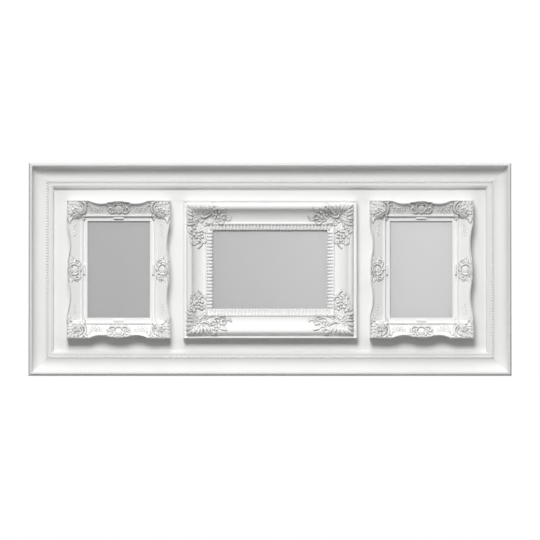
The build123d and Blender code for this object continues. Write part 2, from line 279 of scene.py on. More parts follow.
# %% Rope edge and inner bead
ROPE_PITCH, ROPE_STEP = 3.9, 0.42


def rope_grid(centre, radius, lift, strands, groove, around, length, reach, turn):
    """Grid of a twisted rod, round or flattened, along one side, mitred like the rail it lies on."""
    angle = np.linspace(0, 2 * math.pi, around, endpoint=False)[None, :]
    share = np.linspace(-1, 1, int(length / ROPE_STEP))[:, None]
    phase = share * (length / 2 - centre[0]) / ROPE_PITCH + strands * angle / (2 * math.pi)
    lobe = 1 - np.abs(2 * (phase - np.floor(phase)) - 1) ** 3
    full = 1 - groove / radius * (1 - lobe)
    across = centre[0] + radius * full * np.cos(angle)
    front = centre[1] + lift * full * np.sin(angle)
    return turned(share * (length / 2 - across), -front, reach / 2 - across, turn)


# each rod's name, middle, radius, lift to the front, strands, groove, and points round it
rods = (("rope", (ROPE_PLACE, shoulder), ROPE_RADIUS, ROPE_RADIUS, 2, 1.0, 22),
        ("bead", (COVE_TURN + BEAD_RADIUS, BEAD_FRONT), BEAD_RADIUS, 2.0, 1, 1.9, 16))
for side, length, reach, turn in sides:
    for rod, *shape in rods:
        rod_grid = rope_grid(*shape, length, reach, turn)
        skin(f"rail_{side}_{rod}", rod_grid, rail_lacquer, "white_wood", crease=60)

# %% [markdown]
# The three carved frames are resin casts from moulds of carved wood. Each is a moulding run round a
# sight opening, with ornament raised on it. Loops of points run round the frame, from the outer
# contour to the sight edge. The small frames have a wavy contour: each side is straight at its
# corners, sags beside its middle and swells again at the middle.

# %% Loops round a frame
def frame_loop(width, height, inset, count_x, count_z, dip_x=None, dip_z=None):
    """Points round a frame, clockwise from its top left corner, with sides that may be dipped inwards."""
    half_x, half_z = width / 2 - inset, height / 2 - inset
    along_x = np.linspace(-1, 1, count_x, endpoint=False)
    along_z = np.linspace(-1, 1, count_z, endpoint=False)
    reach_z = half_z - (dip_x(np.abs(along_x)) if dip_x else 0 * along_x)
    reach_x = half_x - (dip_z(np.abs(along_z)) if dip_z else 0 * along_z)
    x = np.concatenate([along_x * half_x, reach_x, -along_x * half_x, -reach_x])
    z = np.concatenate([reach_z, -along_z * half_z, -reach_z, along_z * half_z])
    return np.stack([x, z], axis=-1)


def sagged(start, low, crest, depth, middle):
    """How far a side is dipped at each share of its half length: nothing, then the sag, then the swell."""
    def dip(share):
        outer = depth * (1 - ((share - low) / (start - low)) ** 2)
        inner = depth - (depth - 2 * middle) * ((low - share) / (low - crest)) ** 2
        swell = middle * (1 + (share / crest) ** 2)
        waved = np.where(share > low, outer, np.where(share > crest, inner, swell))
        return np.where(share > start, 0, waved)
    return dip


print("points in a loop of 4 by 3 steps", len(frame_loop(60, 40, 0, 4, 3)))

# %% [markdown]
# All corners and halves of a frame are mirror images, so its ornament is written once, for one corner,
# in millimetres inwards from the side (a) and from the top (b). Most forms lie along a bent line, like
# the sweep of a gouge. For every point of the frame near such a line, its distance from the line and
# how far along the line it lies are worked out. All forms are shaped from these two.

# %% Lines and distances
LINE_POINTS = 26


def bent_line(points):
    """Points along a smooth line through a start, any bends, and an end."""
    points = np.array(points, dtype=float)
    if len(points) == 2:
        return points[0] + (points[1] - points[0]) * np.linspace(0, 1, LINE_POINTS)[:, None]
    knots = np.vstack([2 * points[0] - points[1], points, 2 * points[-1] - points[-2]])
    count = max(4, LINE_POINTS // (len(points) - 1))
    t = np.linspace(0, 1, count, endpoint=False)[:, None]
    line = []
    for p0, p1, p2, p3 in zip(knots, knots[1:], knots[2:], knots[3:]):
        line.append(0.5 * (2 * p1 + (p2 - p0) * t + (2 * p0 - 5 * p1 + 4 * p2 - p3) * t * t
                           + (3 * p1 - p0 - 3 * p2 + p3) * t ** 3))
    return np.vstack(line + [points[-1:]])


def near(a, b, line, reach):
    """Which points are near a line, their distance from it, and how far along it they are."""
    close = ((a > line[:, 0].min() - reach) & (a < line[:, 0].max() + reach)
             & (b > line[:, 1].min() - reach) & (b < line[:, 1].max() + reach))
    spots = np.stack([a[close], b[close]], axis=-1)
    best = np.full(len(spots), np.inf)
    along = np.zeros(len(spots))
    steps = len(line) - 1
    for i in range(steps):
        run = line[i + 1] - line[i]
        share = np.clip(((spots - line[i]) @ run) / max(run @ run, 1e-9), 0, 1)
        gap = np.hypot(*(spots - line[i] - share[:, None] * run).T)
        nearer = gap < best
        best = np.where(nearer, gap, best)
        along = np.where(nearer, (i + share) / steps, along)
    return close, best, along


print("points on a line with one bend", len(bent_line([(0, 0), (4, 3), (8, 0)])))

# %% [markdown]
# A carver sets a form off from its ground by a cut round its edge, and that dark line is what the eye
# reads from afar. So every form rises steeply at its edge, is rounded over, and has a fine groove
# round it. A leaf is widest past its root and pointed at its tip, with a groove down its middle and
# slanting veins. A stem is a half-round cord.

# %% Leaves and stems
UNDERCUT_DEPTH, UNDERCUT_WIDTH = 1.5, 0.75
VEIN_PITCH, VEIN_DEPTH, RIB_WIDTH = 1.7, 0.45, 0.5
ROOT_SHARE, TIP_SHARE, BELLY_POWER, FULL_POWER = 0.03, 0.99, 0.75, 0.6
ROOT_RISE_SHARE, LOBE_SHARE = 0.75, 0.22


def raised(gap, half, rise, cut=1.0):
    """Height over a form of a given half width: rounded over, with a fine groove cut round it."""
    top = rise * np.sqrt(np.clip(1 - np.clip(gap / half, 0, 1) ** 3, 0, 1))
    groove = -cut * UNDERCUT_DEPTH * np.exp(-((gap - half) / UNDERCUT_WIDTH) ** 2)
    return np.where(gap < half, top, groove)


def leaf(points, width, rise, lobes=0, rib=0.8, cut=1.0):
    """A veined leaf along a line, which may have lobes. rib is how deep its middle is cut."""
    def form(a, b):
        line = bent_line(points)
        close, gap, along = near(a, b, line, width)
        belly = np.sin(math.pi * np.clip(along, ROOT_SHARE, TIP_SHARE) ** BELLY_POWER)
        half = width / 2 * belly ** FULL_POWER
        if lobes:
            half = half * (1 + LOBE_SHARE * np.cos(2 * math.pi * lobes * along))
        lift = raised(gap, half, rise * (ROOT_RISE_SHARE + (1 - ROOT_RISE_SHARE) * along), cut)
        length = np.hypot(*np.diff(line, axis=0).T).sum()
        veins = 0.5 + 0.5 * np.cos(2 * math.pi * (along * length - gap) / VEIN_PITCH)
        lift -= (rib * np.exp(-(gap / RIB_WIDTH) ** 2) + VEIN_DEPTH * veins) * (gap < half)
        out = np.zeros(a.shape)
        out[close] = lift
        return out
    return form


def stem(points, radius, rise, end_radius=None):
    """A half-round cord along a line, which may thin towards its end."""
    def form(a, b):
        close, gap, along = near(a, b, bent_line(points), radius + 2)
        half = radius + ((radius if end_radius is None else end_radius) - radius) * along
        out = np.zeros(a.shape)
        out[close] = raised(gap, half, rise)
        return out
    return form


print("height at the middle of a stem and past its edge", raised(np.array([0, 1.1]), 1, 2).round(2))

# %% [markdown]
# The other forms are round: a dome for grapes and bosses, a rolled edge for a tendril, and a flower
# whose petals are told apart by notches and by a cut round its eye. Their height follows from the
# distance to their middle, by the same rounding as on the leaves, so that all look cut by one hand.

# %% Beads, rings and flowers
PETAL_NOTCH_SHARE, PETAL_LOW_SHARE = 0.3, 0.45
EYE_SHARE, EYE_CUT_SHARE, EYE_DEPTH_SHARE, EYE_FLOOR = 0.3, 0.1, 1.1, -0.3


def bead(place, radius, rise, radius_b=None):
    """A dome, round or oval."""
    def form(a, b):
        out = np.hypot((a - place[0]) / radius, (b - place[1]) / (radius_b or radius))
        return raised(out * radius, radius, rise)
    return form


def ring(place, radius, thick, rise):
    """A rolled round edge."""
    def form(a, b):
        out = np.hypot((a - place[0]) / radius, (b - place[1]) / radius)
        return raised(np.abs(out - 1) * radius, thick / 2, rise)
    return form


def flower(place, radius, petals, rise, turn):
    """Round petals about a small eye."""
    def form(a, b):
        da, db = a - place[0], b - place[1]
        out, angle = np.hypot(da, db), np.arctan2(db, da) + turn
        petal = np.abs(np.cos(petals * angle / 2)) ** 0.5
        edge = radius * (1 - PETAL_NOTCH_SHARE + PETAL_NOTCH_SHARE * petal)
        inside = out < edge
        lift = raised(out, edge, rise) * np.where(inside, PETAL_LOW_SHARE + (1 - PETAL_LOW_SHARE) * petal, 1)
        eye = np.exp(-((out - EYE_SHARE * radius) / (EYE_CUT_SHARE * radius)) ** 2)
        lift -= EYE_DEPTH_SHARE * rise * eye * inside
        return np.where(inside, np.maximum(lift, EYE_FLOOR), lift)
    return form


print("height at the middle of a bead", float(bead((0, 0), 2, 1)(0, 0)))

# %% [markdown]
# A sprig is a row of small leaves that stand alternately to both sides of a line. A carver works from
# the ground up, so the forms of a frame are laid over each other in turn: each stands on those before
# it, and its groove cuts into them.

# %% Sprigs and carving
SPRIG_SPREAD, SPRIG_CUT = 0.9, 0.2


def sprig(points, count, length, width, rise):
    """Small plain leaves that stand alternately to both sides of a line."""
    line = bent_line(points)
    forms = []
    for i in range(count):
        at = int((len(line) - 2) * (i + 0.5) / count)
        root, run = line[at], line[at + 1] - line[at]
        angle = math.atan2(run[1], run[0]) + (SPRIG_SPREAD if i % 2 else -SPRIG_SPREAD)
        tip = root + length * np.array([math.cos(angle), math.sin(angle)])
        forms.append(leaf([root, (root + tip) / 2, tip], width, rise, rib=0.0, cut=SPRIG_CUT))
    return forms


def carved(a, b, forms):
    """The height that all forms give: each stands on those before it and is cut in round its edge."""
    lift = np.zeros(a.shape)
    for form in forms:
        height = form(a, b)
        lift = np.where(height > 0, np.maximum(lift, height), lift + height)
    return np.maximum(lift, -UNDERCUT_DEPTH)


print("leaves in a sprig", len(sprig([(0, 0), (5, 1), (10, 0)], 4, 3.0, 2.0, 1.0)))

# %% [markdown]
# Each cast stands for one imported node, so its outline, its place, the rebate for the glass and the
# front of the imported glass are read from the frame. Nothing is carved past the front of the whole
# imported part.

# %% Sizes of the casts
GLASS_PLAY, FRONT_MARGIN = 0.5, 0.02
CARVING_FRONT = -cad_box[0][1] / MM - FRONT_MARGIN
outlines, middles, rebates, backs, glass_fronts = {}, {}, {}, {}, {}
for node in ("left_frame", "centre_frame", "right_frame"):
    low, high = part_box(node)
    glass_low, glass_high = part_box(node.replace("frame", "glass"))
    outlines[node] = ((high[0] - low[0]) / MM, (high[2] - low[2]) / MM)
    middles[node] = (low[0] + high[0]) / 2 / MM
    rebates[node] = (outlines[node][0] - (glass_high[0] - glass_low[0]) / MM) / 2 - GLASS_PLAY
    backs[node], glass_fronts[node] = -high[1] / MM, -glass_low[1] / MM
    print(node, [round(v, 2) for v in outlines[node]], "rebate", round(rebates[node], 2))

# %% [markdown]
# A cast is one closed skin of three belts of loops: the rim, the moulding, and the plain walls of the
# sight edge, the rebate and the back. Between the wavy rim and the straight moulding the loops go over
# from one to the other in even steps. Each point of the front gets the height of the moulding there
# plus that of the ornament.

# %% Casting builder
def casting(node, contour, rim, fall, first, section, levels, forms, boldness, counts):
    """One carved frame. boldness is how much the ornament's height is raised over its written one."""
    width, height = outlines[node]
    loops = [frame_loop(width, height, inset, *counts, *contour) for inset, level in rim]
    last, inner = loops[-1], frame_loop(width, height, first, *counts)
    loops += [last * (1 - share) + inner * share for share in np.linspace(0, 1, fall + 1)[1:]]
    loops += [frame_loop(width, height, inset, *counts) for inset in levels]
    spots = np.array(loops)
    a, b = width / 2 - np.abs(spots[..., 0]), height / 2 - np.abs(spots[..., 1])
    front = section(a, b)
    front[:len(rim)] = np.array([level for inset, level in rim])[:, None]
    front = np.minimum(front + boldness * carved(a, b, forms), CARVING_FRONT)
    back, glass_front = backs[node], glass_fronts[node]
    walls = ((levels[-1], glass_front), (rebates[node], glass_front), (rebates[node], back))
    wall_loops = [frame_loop(width, height, inset, *counts) for inset, level in walls] + [loops[0]]
    wall_fronts = np.array([level for inset, level in walls] + [back])[:, None] + np.zeros(len(last))
    spots, front = np.concatenate([spots, wall_loops]), np.concatenate([front, wall_fronts])
    grid = np.stack([spots[..., 0] + middles[node], -front, spots[..., 1]], axis=-1)
    name = node.replace("frame", "carved_frame")
    skin(name, np.swapaxes(grid, 0, 1), cast_lacquer, "white_casting", [node], endless=True)


print("carving reaches to", round(CARVING_FRONT, 2))

# %% [markdown]
# The small frames fall in a scoop from a thin wavy rim to a ridge, with a flat band from there to the
# sight edge. Under each corner's ornament the ground is built up, so that it stands forward of the
# scoop. u is the distance in from the nearest side.

# %% Small frames: section
SIDE_EDGE, SCOOP_RUN, SCOOP_END = 34.3, 20.2, 21.8
RIDGE_MIDDLE, RIDGE_HALF, RIDGE_CREST, RIDGE_SINK = 21.9, 1.7, 24.0, 0.4
BAND_START, BAND_FRONT, BAND_RISE = 23.5, 19.2, 0.2
SIGHT_BEVEL, SIGHT_EDGE, SIDE_SIGHT = 29.4, 18.65, 30.0
MOUND_START, MOUND_REACH, MOUND_FRONT, MOUND_FALL = (9.5, 8.0), 16.0, 34.6, 5.0


def side_section(a, b):
    """Height of the small moulding: scoop, ridge, sight band, and the ground of the corner ornament."""
    u = np.minimum(a, b)
    scoop = SIDE_EDGE - (SIDE_EDGE - SCOOP_END) * np.clip(u / SCOOP_RUN, 0, 1)
    ridge_foot = SCOOP_END - RIDGE_SINK
    ridge = np.sqrt(np.clip(1 - ((u - RIDGE_MIDDLE) / RIDGE_HALF) ** 2, 0, 1))
    ridge = ridge_foot + (RIDGE_CREST - ridge_foot) * ridge
    band = BAND_FRONT + BAND_RISE * np.clip((u - BAND_START) / (SIGHT_BEVEL - BAND_START), 0, 1)
    bevel = np.clip((u - SIGHT_BEVEL) / (SIDE_SIGHT - SIGHT_BEVEL), 0, 1) ** 2
    band -= (BAND_FRONT + BAND_RISE - SIGHT_EDGE) * bevel
    front = np.where(u < SCOOP_RUN, scoop, np.where(u < BAND_START, ridge, band))
    out = np.hypot(np.clip(a - MOUND_START[0], 0, None), np.clip(b - MOUND_START[1], 0, None)) / MOUND_REACH
    return np.maximum(front, np.where(u < SCOOP_RUN, MOUND_FRONT - MOUND_FALL * out ** 4, 0))


print("height of the scoop's end and the band", side_section(np.array([20.1, 25.0]), 50).round(2))

# %% [markdown]
# Each corner has a flower in a big C-scroll. Leaves run from it over the rim, a lobed leaf goes down
# the side, and small sprigs run out into the scoop. Every form is a line of two to five places and its
# width and height in millimetres, set against the photograph.

# %% Small frames: corner ornament
corner_forms = [
    # leaves over the rim, from the flower to the corner and along both edges
    leaf([(11, 12), (6, 5), (1.4, 1.2)], 7.5, 3.2, lobes=2), leaf([(13, 9), (9.5, 4), (6.0, 1.0)], 5.2, 3.0),
    leaf([(16, 9), (14, 4), (11.5, 1.0)], 5.2, 3.0), leaf([(19, 8.5), (19.5, 4), (17.5, 0.9)], 5.2, 3.0),
    leaf([(9, 14), (4.5, 10.5), (1.0, 7.0)], 5.2, 2.8), leaf([(9, 17), (4.5, 15), (1.0, 12.5)], 5.2, 2.8),
    flower((12.9, 14.0), 6.0, 5, 4.0, turn=0.6),
    # the C-scroll, two cords side by side, with the leaves at its upper end
    stem([(20.5, 1.8), (25.6, 5.0), (27.6, 10.5), (26.2, 16.0), (22.0, 19.6)], 1.7, 4.4),
    stem([(19.0, 5.2), (22.4, 8.0), (23.6, 12.0), (22.2, 15.5), (19.0, 17.6)], 1.2, 3.4),
    leaf([(24, 5.5), (28, 2.6), (32.0, 0.8)], 3.6, 3.2), leaf([(28, 6.5), (31, 6.0), (33.5, 9.0)], 2.8, 3.0),
    # the lower leaf with its lobes, and the tip that laps the ridge
    leaf([(22, 21.0), (13, 22), (5.0, 28.0)], 7.0, 3.6, lobes=3),
    leaf([(8, 25), (4.5, 28), (4.8, 32.8)], 5.6, 3.6),
    leaf([(6, 21), (2.8, 23.5), (1.0, 28.0)], 4.0, 3.2), leaf([(9, 19), (5, 19), (1.2, 18.0)], 4.4, 2.8),
    leaf([(20, 19.0), (24, 23.0), (24.6, 28.2)], 6.0, 3.6, rib=0.1),
    leaf([(15.5, 20), (18.5, 15.5), (18.0, 10.5)], 3.4, 3.0),
    leaf([(7, 7.5), (10.5, 8.5), (13, 7)], 2.6, 2.8),
]
corner_forms += sprig([(32, 10.5), (42, 13.0), (54, 11.5)], 11, 3.6, 2.2, 2.2)
corner_forms += sprig([(32, 15.0), (40, 16.5), (48, 15.0)], 6, 3.0, 2.0, 1.8)
corner_forms += sprig([(12.5, 33), (12.0, 42), (13.0, 51)], 8, 3.0, 2.0, 1.3)
print("forms in a corner", len(corner_forms))

# %% [markdown]
# The middle of each side has an oval boss in a shield between curled leaves. One set of forms serves
# all four crests: it is written as places across from the middle of the side and down from its edge,
# and the places are turned for the upright sides.

# %% Small frames: crests
BOSS_ACROSS, BOSS_DOWN, BOSS_RISE = 4.8, 4.6, 2.4


def crest_forms(upright, half, start, down_share):
    """The crest of a side of a given half length, from start inwards, squeezed downwards by a share."""
    def place(across, down):
        spot = (half - across, start + down * down_share)
        return spot[::-1] if upright else spot

    def route(*spots):
        return [place(*spot) for spot in spots]

    oval = (BOSS_DOWN * down_share, BOSS_ACROSS) if upright else (BOSS_ACROSS, BOSS_DOWN * down_share)
    curl = ((5.5, 17.0), (10.5, 18.2), (14.4, 14.6), (12.8, 10.8), (9.8, 12.4), (11.0, 15.0))
    return [
        stem(route((0, 18.6), (4.6, 15.6), (7.6, 11.4), (7.0, 6.6), (3.6, 3.6), (0, 3.0)), 1.1, 4.2),
        bead(place(0, 11.2), oval[0], BOSS_RISE, oval[1]),
        leaf(route((-0.5, 6.0), (2.0, 5.6), (4.6, 7.6)), 2.2, 4.2, rib=0.0),
        stem(route((0, 16.5), (0, 20.0)), 1.1, 3.6),
        stem(route((1.5, 0.6), (6.5, 1.6), (10.2, 6.0), (10.4, 10.0)), 1.1, 3.0, 0.7),
        leaf(route((9.0, 3.0), (13.0, 1.2), (17.5, 2.4)), 4.0, 3.2),
        leaf(route((10.5, 8.0), (14.5, 6.4), (19.0, 5.0)), 3.8, 2.8),
        leaf(route((9, 9), (13, 10.5), (16.5, 8.5)), 2.8, 2.6),
        leaf(route((12.5, 16.5), (16.0, 14.0), (16.6, 10.6)), 2.6, 2.6),
        stem(route(*curl), 1.25, 3.6, 0.9),
    ]


print("forms in a crest", len(crest_forms(False, 60, 0, 1)))

# %% [markdown]
# On the sight band lies a small pad at the middle of each side. With the corners, the crests and the
# pads the ornament is whole. The crests of the upright sides are lower in relief than those of the
# level ones, as the softer shadows in the photograph show.

# %% Small frames: pads and the whole ornament
TOP_CREST_START, TOP_CREST_SHARE = 0.6, 0.94
FLANK_CREST_START, FLANK_CREST_SHARE, FLANK_RELIEF_SHARE = 1.2, 1.0, 0.7
PAD_HALF, PAD_START, PAD_END, PAD_RISE = 7.3, 23.7, 26.4, 4.0


def lower(form, share):
    """The same form in lower relief."""
    return lambda a, b: share * form(a, b)


def pads(half_x, half_z):
    """A small raised pad on the sight band at the middle of each side, against the ridge."""
    def form(a, b):
        level = (np.abs(half_x - a) < PAD_HALF) & (b > PAD_START) & (b < PAD_END)
        upright = (np.abs(half_z - b) < PAD_HALF) & (a > PAD_START) & (a < PAD_END)
        return np.where(level | upright, PAD_RISE, 0.0)
    return form


side_half_x, side_half_z = (side / 2 for side in outlines["left_frame"])
side_forms = corner_forms + crest_forms(False, side_half_x, TOP_CREST_START, TOP_CREST_SHARE)
flank_forms = crest_forms(True, side_half_z, FLANK_CREST_START, FLANK_CREST_SHARE)
side_forms += [lower(form, FLANK_RELIEF_SHARE) for form in flank_forms]
side_forms += [pads(side_half_x, side_half_z)]
print("forms on a small frame", len(side_forms))

# %% [markdown]
# Now the two small frames can be cast. The loops lie close together where the surface turns fast, over
# the rim, the ridge and the edge of the band, and wider apart in the scoop. Each frame stays under the
# 200,000 triangles that one mesh may have.

# %% Small frames: casting
SAG_DEPTH, SWELL_DROP, SCOOP_LOOPS = 4.2, 1.0, 36
RIDGE_STEP, BAND_STEP = 0.24, 0.4
side_rim = ((0, 35.2), (0.15, 35.8), (0.6, 36.2), (1.1, 36.0), (1.5, 35.2), (1.8, 34.3))
side_contour = (sagged(start=0.57, low=0.34, crest=0.16, depth=SAG_DEPTH, middle=SWELL_DROP),
                sagged(start=0.66, low=0.38, crest=0.19, depth=SAG_DEPTH, middle=SWELL_DROP))
side_levels = [SCOOP_RUN + RIDGE_STEP * i for i in range(1, 14)]
side_levels += [BAND_START + BAND_STEP * i for i in range(16)] + [SIDE_SIGHT]
for node in ("left_frame", "right_frame"):
    casting(node, side_contour, side_rim, SCOOP_LOOPS, SCOOP_RUN, side_section, side_levels, side_forms,
            boldness=1.0, counts=(280, 368))

# %% [markdown]
# The large frame has a falling lip, a rounded hump, a deep cove, a rise to a narrow fillet, and the
# floor on which the teeth stand. As for the small frames, each piece of the section gives a height for
# every distance from the side, and the right one is chosen.

# %% Large frame: section
LIP_FRONT, GROOVE_PLACE, GROOVE_FRONT = 31.0, 3.8, 28.8
HUMP_MIDDLE, HUMP_BASE, HUMP_RADIUS, HUMP_HALF, HUMP_POWER = 9.0, 30.0, 5.5, 5.2, 0.8
STRIP_START, HOLLOW_END, STRIP_FRONT = 31.0, 21.0, 23.6
RISE_WIDTH, FILLET_WIDTH, CENTRE_SIGHT = 1.7, 1.7, 42.75
TOOTH_START, TOOTH_FLOOR = STRIP_START + RISE_WIDTH + FILLET_WIDTH, 19.2
FLOOR_FALL_START, FLOOR_FALL_WIDTH = TOOTH_START + 3, 4


def centre_section(a, b):
    """Height of the large moulding: falling lip, hump, cove, rise to the fillet, floor of the teeth."""
    u = np.minimum(a, b)
    lip = LIP_FRONT + (GROOVE_FRONT - LIP_FRONT) * u / GROOVE_PLACE
    across = u - HUMP_MIDDLE
    inner = HUMP_BASE + np.sqrt(np.clip(HUMP_RADIUS ** 2 - across ** 2, 0, None))
    flank = np.clip(1 - (across / HUMP_HALF) ** 2, 0, 1) ** HUMP_POWER
    outer = GROOVE_FRONT + (HUMP_BASE + HUMP_RADIUS - GROOVE_FRONT) * flank
    hump = np.where(across < 0, outer, inner)
    # the hollow starts where the hump has turned by 45 degrees, and runs level into the strip
    lean = HUMP_RADIUS * 2 ** -0.5
    run, fall = STRIP_START - HUMP_MIDDLE - lean, HUMP_BASE + lean - HOLLOW_END
    radius = (run * run + fall * fall) / (2 * fall)
    depth = np.sqrt(np.maximum(radius ** 2 - np.clip(STRIP_START - u, 0, run) ** 2, 0))
    hollow = HOLLOW_END + radius - depth
    rise = HOLLOW_END + (STRIP_FRONT - HOLLOW_END) * np.clip((u - STRIP_START) / RISE_WIDTH, 0, 1)
    floor_fall = np.clip((u - FLOOR_FALL_START) / FLOOR_FALL_WIDTH, 0, 1)
    strip = np.where(u < TOOTH_START, rise, TOOTH_FLOOR - (TOOTH_FLOOR - SIGHT_EDGE) * floor_fall)
    body = np.where(u < HUMP_MIDDLE + lean, hump, np.where(u < STRIP_START, hollow, strip))
    return np.where(u < GROOVE_PLACE, lip, body)


heights = centre_section(np.array([9.0, 30.9, 34.0]), 60)
print("height of the hump, the hollow and the fillet", heights.round(2))

# %% [markdown]
# Each corner of the large frame is a fan of long plumes that spread from one root, with a scroll and
# small leaves under it. All plumes are cut alike and differ only in their tips and bends, so a small
# function makes one.

# %% Large frame: fan
PLUME_RISE, PLUME_RIB = 2.9, 1.0


def plume(root, bend, tip, width=4.4):
    """One long leaf of the fan."""
    return leaf([root, bend, tip], width, PLUME_RISE, rib=PLUME_RIB)


fan_heart = (25.0, 21.5)
fan_forms = [
    plume(fan_heart, (14, 12), (5.2, 5.2), 5.0),
    plume(fan_heart, (13, 16), (4.3, 11.0)), plume(fan_heart, (13, 20.5), (4.3, 17.5)),
    plume(fan_heart, (13, 26), (4.3, 24.5)), plume((25, 25), (14, 33), (4.3, 35.4)),
    plume((24, 24), (14, 29.5), (4.8, 30.2), 3.8),
    plume(fan_heart, (17, 10.5), (11.0, 5.6)), plume(fan_heart, (22, 10), (17.5, 5.8)),
    plume(fan_heart, (27, 11), (24.0, 5.8)), plume((27, 21), (32, 12), (31.0, 5.8)),
    plume((29, 20), (36.5, 14), (37.5, 6.8)),
    # the scroll under the fan and the small leaves by the strip
    stem([(26.5, 22.5), (29.5, 24.0), (35, 22.5), (40.8, 18.2)], 1.6, 2.8, 0.8),
    leaf([(23, 27), (26, 30.5), (30.5, 28.0)], 3.4, 2.0), leaf([(29, 31), (31, 35), (35, 31)], 3.4, 2.0),
    leaf([(33, 27.5), (37.5, 31.5), (43.5, 31.5)], 3.4, 2.0),
    leaf([(21, 30), (18.5, 33.5), (20, 37.5)], 3.4, 2.0),
]
print("forms in the fan", len(fan_forms))

# %% [markdown]
# A vine runs out from the fan along both rails, with leaves, a curled tendril and grapes. The grapes
# are domes of one size, so only their places are listed.

# %% Large frame: vine and grapes
GRAPE_RADIUS, GRAPE_RISE = 2.05, 2.7
vine_forms = [
    # top rail: leaf loop, vine leaf, curl, tip, crescent and stalk
    leaf([(41, 11.5), (44.5, 6.2), (51, 13.5)], 4.6, 2.4),
    leaf([(53, 14.5), (58.5, 13.8), (63.5, 10.8)], 5.0, 2.5),
    ring((58.8, 23.3), 3.2, 1.8, 2.6), leaf([(61.5, 26.0), (66, 27.5), (70.0, 23.6)], 3.6, 2.4),
    leaf([(48.5, 29.0), (55.5, 33.2), (61.5, 26.6)], 3.6, 2.2),
    stem([(40, 22), (47, 29.5), (54, 28.5)], 0.9, 1.8),
    # side rail: leaves, tips and tendril
    leaf([(13.5, 39.5), (7.5, 43), (12.5, 49.0)], 4.8, 2.3),
    leaf([(26.5, 43.5), (30.5, 44.5), (32.0, 47.5)], 3.6, 2.2),
    leaf([(10, 49.5), (11.5, 53.5), (14.5, 54.5)], 3.0, 2.0),
    leaf([(17.5, 57), (20, 60.8), (24.5, 60.6)], 3.2, 2.2),
    leaf([(27, 60.5), (31, 60.0), (32.8, 55.0)], 3.4, 2.2),
    leaf([(14, 57), (12.0, 60.5), (15.0, 65.0)], 3.8, 2.4),
    leaf([(19.5, 60.0), (18.0, 62.5), (14.8, 65.0)], 2.6, 2.2),
    stem([(24.5, 58.5), (27, 63.0), (21.6, 69.0)], 1.0, 2.2, 0.7),
]
top_grapes = [(44, 14), (48, 12.3), (43.6, 20.4), (47.8, 17.2), (47.4, 21.0), (51.8, 17.0), (45.8, 24.6),
              (50.6, 24.4), (55.0, 21.8)]
side_grapes = [(12.0, 42.8), (16.5, 39.6), (18.6, 44.8), (23.0, 44.8), (26.8, 42.6), (22.8, 49.2),
               (26.5, 48.0), (19.0, 52.6), (16.2, 49.6), (23.4, 53.8), (27.6, 52.6), (22.8, 57.6)]
grapes = [bead(spot, GRAPE_RADIUS, GRAPE_RISE) for spot in top_grapes + side_grapes]
print("forms in the vine", len(vine_forms), "grapes", len(grapes))

# %% [markdown]
# The large cast is made like the small ones, but its sides are straight and its relief is bolder. Two
# loops that almost touch make the sharp step from the fillet down to the floor of the teeth.

# %% Large frame: casting
COVE_LOOPS, RISE_STEP, FLOOR_STEP, EDGE_STEP, DROP_WIDTH = 52, 0.28, 1.2, 0.3, 0.04
centre_rim = ((0, 30.2), (0.3, LIP_FRONT), (1.6, 30.1), (2.8, 29.2), (GROOVE_PLACE, GROOVE_FRONT))
centre_levels = [STRIP_START + RISE_STEP * i for i in range(1, 7)]
centre_levels += [TOOTH_START - EDGE_STEP, TOOTH_START - DROP_WIDTH / 2, TOOTH_START + DROP_WIDTH / 2]
centre_levels += [TOOTH_START + FLOOR_STEP * i for i in range(1, 7)]
centre_levels += [CENTRE_SIGHT - EDGE_STEP, CENTRE_SIGHT]
casting("centre_frame", (None, None), centre_rim, COVE_LOOPS, STRIP_START, centre_section, centre_levels,
        fan_forms + vine_forms + grapes, boldness=1.4, counts=(345, 280))

# %% [markdown]
# The teeth round the picture are short half-round reeds, all alike. They could be heights of the skin
# too, but that would need far more points there, so one tooth is shaped once as a small grid. It is
# rounded down at its inner end, where it sinks a little into the floor.

# %% One tooth
TOOTH_WIDTH, TOOTH_FRONT, TOOTH_GAP, TOOTH_POINTS = 4.1, 21.9, 0.05, (11, 9)
TOOTH_POWER, TOOTH_ROUND_START, TOOTH_ROUND_SHARE, TOOTH_SINK = 2.4, 0.75, 0.7, 0.3


def tooth_shape(length):
    """One tooth, rounded down at its inner end. Points across it, to the front, and up its length."""
    across, along = np.meshgrid(np.linspace(-1, 1, TOOTH_POINTS[0]), np.linspace(0, 1, TOOTH_POINTS[1]),
                                indexing="ij")
    fall = np.clip((along - TOOTH_ROUND_START) / (1 - TOOTH_ROUND_START), 0, 1)
    rise = np.sqrt(np.clip(1 - np.abs(across) ** TOOTH_POWER, 0, 1))
    rise = rise * np.sqrt(1 - TOOTH_ROUND_SHARE * fall ** 2)
    front = TOOTH_FLOOR + (TOOTH_FRONT - TOOTH_FLOOR) * rise
    front[:, -1] = TOOTH_FLOOR - TOOTH_SINK
    return across * TOOTH_WIDTH / 2, front, (0.5 - along) * length


tooth_length = CENTRE_SIGHT - TOOTH_START - TOOTH_GAP
tooth_across, tooth_front, tooth_up = tooth_shape(tooth_length)
print("tooth", TOOTH_WIDTH, "by", round(tooth_length, 2), "mm")

# %% [markdown]
# Copies of the tooth stand side by side round the opening, joined into one piece. The rows above and
# below run on past the opening, so that no corner stays bare.

